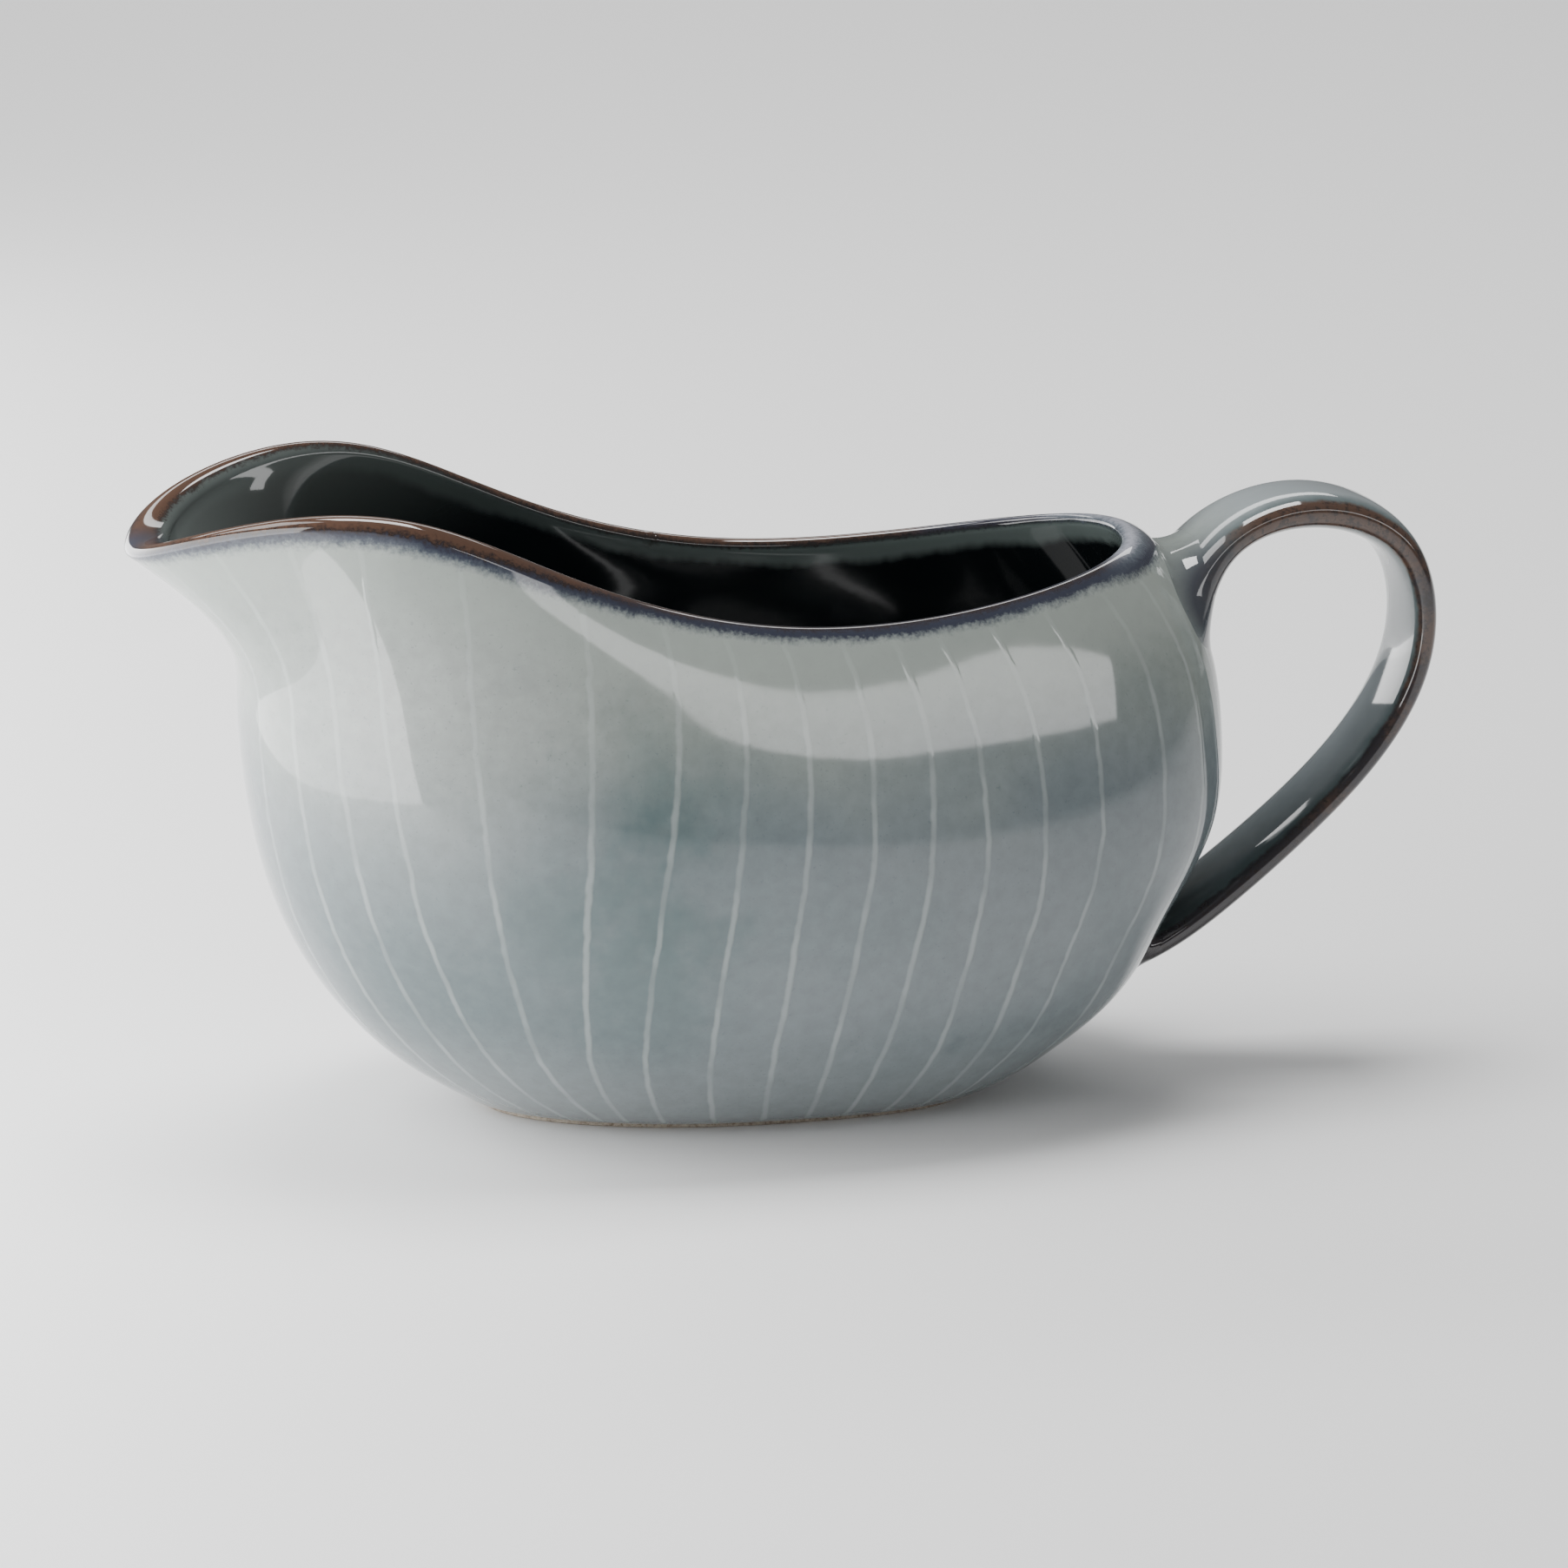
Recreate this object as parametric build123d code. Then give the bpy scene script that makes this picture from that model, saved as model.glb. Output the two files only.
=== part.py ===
from build123d import *
import os
import numpy as np

# Gravy boat: a slip-cast bowl with a raised pouring spout, a bare foot ring and a strap handle
# luted on with two slip joints. Millimetres, +Z up. The origin is on the surface the boat stands
# on, under the middle of its length. The spout points along -X and the handle along +X.

# ---- driving dimensions ---------------------------------------------------------------------
wall = 4.0                # thickness of the cast wall, and of the rounded lip
lip_radius = wall / 2
foot_height = 1.2         # bare clay that shows under the glaze
foot_width = 4.0          # width of the ring that touches the table
foot_inset = 0.8          # the ring steps in from the foot edge of the glaze
base_recess = 1.6         # hollow under the bowl, inside the foot ring
floor_top = 7.0           # height of the flat floor inside the bowl
floor_radius = 7.0        # corner between the floor and the inner wall

# The bowl's plan at each height: rear line, front line under the spout, and half width.
heights = [0, 3, 8, 15, 26, 40, 55, 70, 92]
rear_x = [26.2, 32.2, 40.1, 49.0, 56.4, 64.3, 66.1, 63.6, 49.4]
front_x = [-48.7, -53.5, -61.0, -68.6, -76.4, -81.8, -84.2, -84.3, -78.6]
half_width = [20.0, 25.6, 31.3, 36.2, 40.5, 42.9, 42.3, 39.8, 38.4]

# The spout's beak: how far the pouring lip runs out past the front line.
beak_heights = [64, 72, 78, 84, 92]
beak_reach = [0, 1.2, 5.9, 13.7, 26.7]
beak_sharpness = 8

# The widest place of each level moves forward with height.
waist_x = -16.7
waist_lean = -0.34
rear_power = 2.6          # 2 would be an ellipse, more is squarer
front_power = 2.1

# Height of the lip's centre every 30 degrees, from the heel round to the spout's tip.
rim_heights = [84.0, 81.9, 77.5, 83.8, 95.8, 93.4, 88.7]

# Along both sides the wall curls in towards the rim, most of all at the waist.
rim_curl = 4.4
curl_depth = 13.0         # the curl fades by a factor of e over this depth below the rim

# The handle's centre line, from its upper root to its lower root, as (x, z).
handle_path = [
    (57.6, 67.5), (65.7, 82.9), (80.2, 87.8), (94.4, 81.9), (98.2, 66.3),
    (91.8, 51.2), (80.6, 39.0), (67.9, 28.4), (55.5, 20.4), (46.0, 17.0),
]
handle_width = [25.0, 19.0, 17.0, 17.0, 17.0, 17.0, 17.0, 17.5, 18.5, 20.0]
handle_thickness = [12.0, 6.0, 6.2, 5.4, 4.7, 4.6, 4.7, 5.0, 4.9, 4.4]
section_power = 2.6       # the strap's section is a rounded lozenge

# The slip joints: collars of clay smoothed out where the handle meets the bowl.
slip_step = 0.5           # thickness of a collar at its outer end
upper_slip_flare = 2.6    # extra thickness of a collar where it meets the bowl
lower_slip_flare = 1.4
upper_slip_length = 20.0  # length along the handle, measured from its buried end
lower_slip_length = 24.0

points_around = 36        # points on each level of the bowl
points_on_strap = 16      # points on each section of the handle


# ---- curves ---------------------------------------------------------------------------------
def cubic_line(knots, values, x):
    """Value and slope at x of the natural cubic spline through the knots."""
    knots = np.asarray(knots, float)
    values = np.asarray(values, float)
    x = np.asarray(x, float)
    step = np.diff(knots)
    rise = np.diff(values) / step
    count = len(knots)
    matrix = np.eye(count)
    target = np.zeros(count)
    for i in range(1, count - 1):
        matrix[i, i - 1 : i + 2] = step[i - 1], 2 * (step[i - 1] + step[i]), step[i]
        target[i] = 6 * (rise[i] - rise[i - 1])
    bend = np.linalg.solve(matrix, target)
    i = np.clip(np.searchsorted(knots, x) - 1, 0, count - 2)
    left = x - knots[i]
    right = knots[i + 1] - x
    h = step[i]
    low = values[i] / h - bend[i] * h / 6
    high = values[i + 1] / h - bend[i + 1] * h / 6
    value = (bend[i] * right**3 + bend[i + 1] * left**3) / (6 * h) + low * right + high * left
    slope = (bend[i + 1] * left**2 - bend[i] * right**2) / (2 * h) + high - low
    return value, slope


def rim_height(u):
    """Height of the lip's centre at angle u: an even cosine series through the stations."""
    stations = np.radians(30 * np.arange(7))
    order = np.arange(7)
    series = np.linalg.solve(np.cos(np.outer(stations, order)), rim_heights)
    return np.cos(np.outer(u, order)) @ series


def beak_at(z):
    """Reach of the beak at height z, which is nothing below the first beak height."""
    reach, slope = cubic_line(beak_heights, beak_reach, np.maximum(z, beak_heights[0]))
    above = z > beak_heights[0]
    return np.where(above, reach, 0.0), np.where(above, slope, 0.0)


def bowl_point(u, z, inset):
    """Plan position at angle u and height z, moved into the wall by a depth square to it."""
    rear, rear_slope = cubic_line(heights, rear_x, z)
    front, front_slope = cubic_line(heights, front_x, z)
    half, half_slope = cubic_line(heights, half_width, z)
    beak, beak_slope = beak_at(z)
    rear = rear - inset * np.hypot(1, rear_slope)
    half = half - inset * np.hypot(1, half_slope)
    front_depth = inset * np.hypot(1, front_slope)
    beak_depth = inset * np.hypot(1, front_slope - beak_slope)
    front = front + front_depth
    beak = beak - (beak_depth - front_depth)
    middle = waist_x + waist_lean * (z - heights[5])
    cosine = np.cos(u)
    sine = np.sin(u)
    below_rim = np.maximum(rim_height(u) - z, 0)
    curl = rim_curl * sine**2 * np.exp(-below_rim / curl_depth)
    rear = rear - curl
    front = front + curl
    half = half - curl
    forward = (1 - cosine) / 2
    power = rear_power + (front_power - rear_power) * forward
    radius = (np.abs(cosine) ** power + np.abs(sine) ** power) ** (-1 / power)
    reach = (rear - middle) * (1 - forward) + (middle - front) * forward
    x = middle + reach * radius * cosine - beak * forward**beak_sharpness
    return x, half * radius * sine


angles = np.linspace(0, 2 * np.pi, points_around, endpoint=False)
rim = rim_height(angles)
corner_top = floor_top + floor_radius


def ring_of(x, y, z):
    """Closed smooth wire through the points."""
    points = [Vector(*map(float, place)) for place in zip(x, y, z)]
    return Wire([Edge.make_spline(points, periodic=True)])


def level(z, inset):
    """One closed level line of the bowl."""
    z = np.broadcast_to(z, angles.shape)
    x, y = bowl_point(angles, z, inset)
    return ring_of(x, y, z)


# ---- bowl -----------------------------------------------------------------------------------
def outer_levels(top):
    """Level lines of the outside, flat at the foot and following the rim at the top."""
    shares = [0, 0.03, 0.08, 0.15, 0.25, 0.37, 0.5, 0.63, 0.74, 0.83, 0.91, 1.0]
    return [level(foot_height + share * (top - foot_height), 0.0) for share in shares]


def lip_levels():
    """Half-round lip, from the outside over the top to the inside."""
    wires = []
    for degrees in (45, 90, 135):
        turn = np.radians(degrees)
        x, y = bowl_point(angles, rim, lip_radius * (1 - np.cos(turn)))
        wires.append(ring_of(x, y, rim + lip_radius * np.sin(turn)))
    return wires


def inner_levels():
    """Level lines of the inside, from the rim down to the top of the floor corner."""
    shares = [1.0, 0.91, 0.82, 0.7, 0.55, 0.4, 0.25, 0.12, 0.0]
    return [level(corner_top + share * (rim - corner_top), wall) for share in shares]


def pulled_in(x, y, distance):
    """Outline moved towards its own middle by a distance."""
    middle = x.mean()
    share = 1 - distance / np.hypot(x - middle, y)
    return middle + (x - middle) * share, y * share


def floor_levels():
    """Rounded corner from the inner wall down to the edge of the flat floor."""
    x, y = bowl_point(angles, np.full_like(angles, corner_top), wall)
    wires = []
    for degrees in (30, 60, 90):
        turn = np.radians(degrees)
        z = np.full_like(angles, corner_top - floor_radius * np.sin(turn))
        wires.append(ring_of(*pulled_in(x, y, floor_radius * (1 - np.cos(turn))), z))
    return wires


def foot_prism(distance, bottom, height):
    """Prism of the foot outline, pulled in by a distance."""
    x, y = bowl_point(angles, np.full_like(angles, foot_height), 0.0)
    outline = ring_of(*pulled_in(x, y, distance), np.full_like(angles, bottom))
    return extrude(Face(outline), amount=height, dir=(0, 0, 1))


def make_bowl():
    """Outside, lip, inside and floor corner as four smooth skins, sewn with two flat ends."""
    outer = outer_levels(rim)
    inner = inner_levels()
    corner = floor_levels()
    skins = [outer, [outer[-1], *lip_levels(), inner[0]], inner, [inner[-1], *corner]]
    faces = [Face(outer[0]), Face(corner[-1])]
    for levels in skins:
        faces += Shell.make_loft(levels).faces()
    body = Solid(Shell(faces))
    hollow = foot_prism(foot_inset + foot_width, foot_height, base_recess)
    return body - hollow


def make_foot_ring():
    outside = foot_prism(foot_inset, 0, foot_height)
    inside = foot_prism(foot_inset + foot_width, 0, foot_height)
    return outside - inside


# ---- handle ---------------------------------------------------------------------------------
path_x, path_z = np.transpose(handle_path)
path_length = np.concatenate([[0], np.cumsum(np.hypot(np.diff(path_x), np.diff(path_z)))])


def strap_ring(distance, swell):
    """Closed section of the strap at a distance along its path, swollen all round."""
    x, x_slope = cubic_line(path_length, path_x, distance)
    z, z_slope = cubic_line(path_length, path_z, distance)
    half_thick = cubic_line(path_length, handle_thickness, distance)[0] / 2 + swell
    half_wide = cubic_line(path_length, handle_width, distance)[0] / 2 + swell
    turn = np.linspace(0, 2 * np.pi, points_on_strap, endpoint=False)
    cosine = np.cos(turn)
    sine = np.sin(turn)
    radius = (np.abs(cosine) ** section_power + np.abs(sine) ** section_power)
    radius = radius ** (-1 / section_power)
    across = half_thick * radius * cosine
    scale = np.hypot(x_slope, z_slope)
    return ring_of(
        x - across * z_slope / scale,
        half_wide * radius * sine,
        z + across * x_slope / scale,
    )


def make_strap():
    """The strap from root to root, with both ends still inside the bowl's wall."""
    return Solid.make_loft([strap_ring(d, 0.0) for d in np.linspace(0, path_length[-1], 21)])


def make_slip(start, end, flare):
    """Collar round the strap: thick where it meets the bowl, thin at its outer end."""
    wires = []
    for share in np.linspace(0, 1, 5):
        swell = slip_step + flare * (1 - share) ** 2
        wires.append(strap_ring(start + share * (end - start), swell))
    return Solid.make_loft(wires)


def outside_of(shape, *others):
    """The largest piece left of a shape after the others are cut away."""
    for other in others:
        shape = shape - other
    return max(shape.solids(), key=lambda solid: solid.volume)


# ---- parts ----------------------------------------------------------------------------------
bowl = make_bowl()
foot_ring = make_foot_ring()
strap = make_strap()
handle = outside_of(strap, bowl)
upper_slip = make_slip(0, upper_slip_length, upper_slip_flare)
upper_slip_joint = outside_of(upper_slip, bowl, strap)
lower_end = path_length[-1]
lower_slip = make_slip(lower_end, lower_end - lower_slip_length, lower_slip_flare)
lower_slip_joint = outside_of(lower_slip, bowl, strap)

parts = {
    "bowl": bowl,
    "foot_ring": foot_ring,
    "handle": handle,
    "upper_slip_joint": upper_slip_joint,
    "lower_slip_joint": lower_slip_joint,
}

os.makedirs("parts", exist_ok=True)
for name, shape in parts.items():
    export_step(shape, f"parts/{name}.step")
    box = shape.bounding_box()
    print(name, round(shape.volume, 1), box.min, box.max)
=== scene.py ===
import math

import bpy
import numpy as np
from mathutils import Matrix, Vector


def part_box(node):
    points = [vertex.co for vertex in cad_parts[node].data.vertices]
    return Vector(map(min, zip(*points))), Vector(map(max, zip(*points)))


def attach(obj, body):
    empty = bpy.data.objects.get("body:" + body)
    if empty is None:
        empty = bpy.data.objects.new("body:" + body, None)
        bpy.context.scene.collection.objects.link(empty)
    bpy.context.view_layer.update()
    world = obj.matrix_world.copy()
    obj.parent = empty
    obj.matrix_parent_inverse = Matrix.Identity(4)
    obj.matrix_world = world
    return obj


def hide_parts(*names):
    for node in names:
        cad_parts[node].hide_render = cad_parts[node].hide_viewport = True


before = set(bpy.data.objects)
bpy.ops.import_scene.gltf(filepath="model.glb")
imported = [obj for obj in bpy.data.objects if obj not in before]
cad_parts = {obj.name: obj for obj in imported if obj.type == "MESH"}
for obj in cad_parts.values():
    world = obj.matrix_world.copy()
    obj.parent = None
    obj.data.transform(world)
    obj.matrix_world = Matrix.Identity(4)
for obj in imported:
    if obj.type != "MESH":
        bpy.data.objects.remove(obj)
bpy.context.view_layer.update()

mm = 0.001  # the dictionaries below are in millimetres, as a potter's drawing is


# Curves that several pieces share

def cubicLine(knots, values, x):
    # natural cubic spline: piecewise cubics whose slope and bend are continuous at the knots
    # and whose bend is nothing at both ends; gives value and slope at every x
    knots = np.asarray(knots, float)
    values = np.asarray(values, float)
    x = np.asarray(x, float)
    step = np.diff(knots)
    rise = np.diff(values) / step
    matrix = np.eye(len(knots))
    target = np.zeros(len(knots))
    for i in range(1, len(knots) - 1):
        matrix[i, i - 1:i + 2] = step[i - 1], 2 * (step[i - 1] + step[i]), step[i]
        target[i] = 6 * (rise[i] - rise[i - 1])
    bend = np.linalg.solve(matrix, target)
    i = np.clip(np.searchsorted(knots, x) - 1, 0, len(step) - 1)
    left, right, h = x - knots[i], knots[i + 1] - x, step[i]
    low = values[i] / h - bend[i] * h / 6
    high = values[i + 1] / h - bend[i + 1] * h / 6
    value = (bend[i] * right ** 3 + bend[i + 1] * left ** 3) / (6 * h) + low * right + high * left
    slope = (bend[i + 1] * left ** 2 - bend[i] * right ** 2) / (2 * h) + high - low
    return value, slope


def roundedSquare(turn, power):
    # superellipse: |cos|^power + |sin|^power = 1, an ellipse at power 2 and squarer above it
    cosine, sine = np.cos(turn), np.sin(turn)
    radius = (np.abs(cosine) ** power + np.abs(sine) ** power) ** (-1 / power)
    return radius * cosine, radius * sine


# Bowl

bowlValues = {
    "heights": [0, 3, 8, 15, 26, 40, 55, 70, 92],  # heights of the plan stations
    "rear": [26.2, 32.2, 40.1, 49.0, 56.4, 64.3, 66.1, 63.6, 49.4],  # outline on the handle side
    "front": [-48.7, -53.5, -61.0, -68.6, -76.4, -81.8, -84.2, -84.3, -78.6],  # under the spout
    "half": [20.0, 25.6, 31.3, 36.2, 40.5, 42.9, 42.3, 39.8, 38.4],  # half width
    "beakHeights": [64, 72, 78, 84, 92],
    "beak": [0, 1.2, 5.9, 13.7, 26.7],  # how far the pouring lip runs out past the front line
    "beakSharpness": 8,
    "waist": -16.7, "waistLean": -0.34, "waistHeight": 40,  # widest place of each level
    "rearPower": 2.6, "frontPower": 2.1,
    "rim": [84.0, 81.9, 77.5, 83.8, 95.8, 93.4, 88.7],  # lip height every 30 degrees, heel to tip
    "curl": 4.4, "curlDepth": 13.0,  # how far the wall curls in at the rim, and how deep down
    "flare": 4.0, "flareDepth": 2.6,  # how far the lip turns out beside the spout, likewise
    "wall": 4.0, "lipRadius": 2.0,
    "footHeight": 1.2, "footInset": 0.8, "footWidth": 4.0, "recess": 1.6, "glazeBead": 0.45,
    "floorTop": 7.0, "floorRadius": 7.0,
    "around": 288, "outerRows": 132, "lipRows": 22, "innerRows": 84, "cornerRows": 10, "floorRows": 14,
}


def rimHeight(u):
    # even cosine series in u through the seven rim stations
    order = np.arange(7)
    stations = np.radians(30 * order)
    series = np.linalg.solve(np.cos(np.outer(stations, order)), bowlValues["rim"])
    return np.cos(np.asarray(u)[..., None] * order) @ series


def bowlLines(z, inset):
    # the plan's rear line, front line, half width and beak at height z, each moved into the
    # wall by the inset measured square to it
    v = bowlValues
    rear, rearSlope = cubicLine(v["heights"], v["rear"], z)
    front, frontSlope = cubicLine(v["heights"], v["front"], z)
    half, halfSlope = cubicLine(v["heights"], v["half"], z)
    beak, beakSlope = cubicLine(v["beakHeights"], v["beak"], np.maximum(z, v["beakHeights"][0]))
    above = z > v["beakHeights"][0]
    beak, beakSlope = np.where(above, beak, 0), np.where(above, beakSlope, 0)
    frontDepth = inset * np.hypot(1, frontSlope)
    beakDepth = inset * np.hypot(1, frontSlope - beakSlope)
    return (rear - inset * np.hypot(1, rearSlope), front + frontDepth,
            half - inset * np.hypot(1, halfSlope), beak - (beakDepth - frontDepth))


def curlAt(u, z):
    # inward curl of the wall: greatest at the rim, fading as e^(-depth / curlDepth) below it,
    # and shared round the boat as sin^2 of the angle, so it is nothing at heel and tip; a much
    # shallower outward flare is taken off it, shared as sin^2 times the way forward to the sixth
    v = bowlValues
    below = np.maximum(rimHeight(u) - z, 0)
    flare = v["flare"] * ((1 - np.cos(u)) / 2) ** 6 * np.exp(-below / v["flareDepth"])
    return np.sin(u) ** 2 * (v["curl"] * np.exp(-below / v["curlDepth"]) - flare)


def bowlPlan(u, z, inset):
    # superellipse whose length and power change from heel to spout, less the beak at the tip
    v = bowlValues
    rear, front, half, beak = bowlLines(z, inset)
    curl = curlAt(u, z)
    rear, front, half = rear - curl, front + curl, half - curl
    middle = v["waist"] + v["waistLean"] * (z - v["waistHeight"])
    forward = (1 - np.cos(u)) / 2
    power = v["rearPower"] + (v["frontPower"] - v["rearPower"]) * forward
    alongUnit, acrossUnit = roundedSquare(u, power)
    reach = (rear - middle) * (1 - forward) + (middle - front) * forward
    x = middle + reach * alongUnit - beak * forward ** v["beakSharpness"]
    return x, half * acrossUnit


def outsideBowl(points):
    # how far a point is outside the bowl's plan at its own height, as a share of the plan's size;
    # the angle it lies at is found by repeated substitution
    v = bowlValues
    x, y, z = points[..., 0], points[..., 1], points[..., 2]
    rear, front, half, beak = bowlLines(z, 0.0)
    middle = v["waist"] + v["waistLean"] * (z - v["waistHeight"])
    across = y / half
    along = (x - middle) / (rear - middle)
    for i in range(8):
        u = np.arctan2(across, along)
        forward = (1 - np.cos(u)) / 2
        curl = curlAt(u, z)
        reach = (rear - curl - middle) * (1 - forward) + (middle - front - curl) * forward
        along = (x - middle + beak * forward ** v["beakSharpness"]) / reach
        across = y / (half - curl)
    power = v["rearPower"] + (v["frontPower"] - v["rearPower"]) * forward
    return (np.abs(along) ** power + np.abs(across) ** power) ** (1 / power) - 1


def ontoBowl(points, above):
    # moves points level with themselves, towards or from the bowl's middle line, until they
    # lie on its outside; above is how far outside the wall they end
    v = bowlValues
    middle = v["waist"] + v["waistLean"] * (points[..., 2] - v["waistHeight"])
    centre = np.stack([middle, 0 * middle, points[..., 2]], -1)
    for i in range(10):
        points = centre + (points - centre) / (1 + outsideBowl(points))[..., None]
    spoke = points - centre
    return points + spoke * (above / np.linalg.norm(spoke, axis=-1))[..., None]


# Mesh helpers

def gridFaces(rows, columns, startPole, endPole):
    # quads between neighbouring rows that close round the columns, and a fan to each pole
    first = 1 if startPole else 0
    r, c = np.meshgrid(np.arange(rows - 1), np.arange(columns), indexing="ij")
    a = first + r * columns + c
    b = first + r * columns + (c + 1) % columns
    quads = np.stack([a, b, b + columns, a + columns], -1).reshape(-1, 4).tolist()
    c = np.arange(columns)
    n = (c + 1) % columns
    fans = []
    if startPole:
        fans += np.stack([np.zeros_like(c), first + n, first + c], -1).tolist()
    if endPole:
        last = first + (rows - 1) * columns
        fans += np.stack([np.full_like(c, last + columns), last + c, last + n], -1).tolist()
    return quads, fans


def surfaceMesh(name, grid, attributes, startPole=None, endPole=None, ringClosed=False):
    # a closed skin from a grid of points (rows, columns, 3): columns close round, and the rows
    # end in poles or close on themselves; attributes are one number for each grid point
    rows, columns = grid.shape[:2]
    points = grid.reshape(-1, 3)
    if startPole is not None:
        points = np.vstack([startPole, points])
    if endPole is not None:
        points = np.vstack([points, endPole])
    quads, fans = gridFaces(rows, columns, startPole is not None, endPole is not None)
    if ringClosed:
        c = np.arange(columns)
        n = (c + 1) % columns
        last = (rows - 1) * columns
        quads += np.stack([last + c, last + n, n, c], -1).tolist()
    mesh = bpy.data.meshes.new(name)
    mesh.from_pydata((points * mm).tolist(), [], quads + fans)
    for key, values in attributes.items():
        flat = np.broadcast_to(values, (rows, columns)).reshape(-1)
        if startPole is not None:
            flat = np.concatenate([[flat[:columns].mean()], flat])
        if endPole is not None:
            flat = np.concatenate([flat, [flat[-columns:].mean()]])
        layer = mesh.attributes.new(key, "FLOAT", "POINT")
        layer.data.foreach_set("value", flat.astype(np.float32))
    mesh.validate()
    mesh.update()
    mesh.shade_smooth()
    piece = bpy.data.objects.new(name, mesh)
    bpy.context.scene.collection.objects.link(piece)
    return piece


def addRingMap(piece, name, around, turn):
    # UV map of a grid that starts with a pole: U is one value for each grid point, and a face
    # across the seam uses U plus one whole turn, so it doesn't fold back; V is the row's share
    mesh = piece.data
    rows, columns = around.shape
    loopVertex = np.zeros(len(mesh.loops), int)
    mesh.loops.foreach_get("vertex_index", loopVertex)
    index = np.clip(loopVertex - 1, 0, rows * columns - 1)
    starts = np.zeros(len(mesh.polygons), int)
    totals = np.zeros(len(mesh.polygons), int)
    mesh.polygons.foreach_get("loop_start", starts)
    mesh.polygons.foreach_get("loop_total", totals)
    face = np.repeat(np.arange(len(starts)), totals)
    u = around.reshape(-1)[index]
    high = np.zeros(len(starts))
    np.maximum.at(high, face, u)
    u = np.where(high[face] - u > turn / 2, u + turn, u)
    layer = mesh.uv_layers.new(name=name)
    pairs = np.stack([u, index // columns / (rows - 1)], -1)
    layer.data.foreach_set("uv", pairs.astype(np.float32).reshape(-1))


stripeValues = {
    # where each pale line starts at the rim and ends at the foot, in degrees from the heel
    "atRim": [9, 18, 27.5, 36, 45, 52, 58, 62.5, 68, 74, 80, 86.5, 96, 112, 127, 137, 149, 163],
    "atFoot": [11, 22, 33, 44, 56, 63, 72, 81.5, 90, 99, 108.5, 118, 125, 130, 137, 145, 154, 166],
    "drift": 1.35,  # power that shares the drift between rim and foot
}


def stripePhase(u, down):
    # counts stripes round the bowl, each stripe at a half: straight lines between the stripe
    # angles, which run from rim to foot as down^drift, and the far side mirrors the near side
    v = stripeValues
    half = np.minimum(u, 2 * np.pi - u)
    phase = np.zeros((len(down), len(u)))
    count = len(v["atRim"])
    for row, share in enumerate(down):
        drift = np.subtract(v["atFoot"], v["atRim"]) * share ** v["drift"]
        angles = np.radians(v["atRim"] + drift)
        knots = np.concatenate([[-angles[0]], angles, [2 * np.pi - angles[-1]]])
        phase[row] = np.interp(half, knots, np.arange(count + 2) - 0.5)
    return np.where(u > np.pi, 2 * count - phase, phase)


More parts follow.
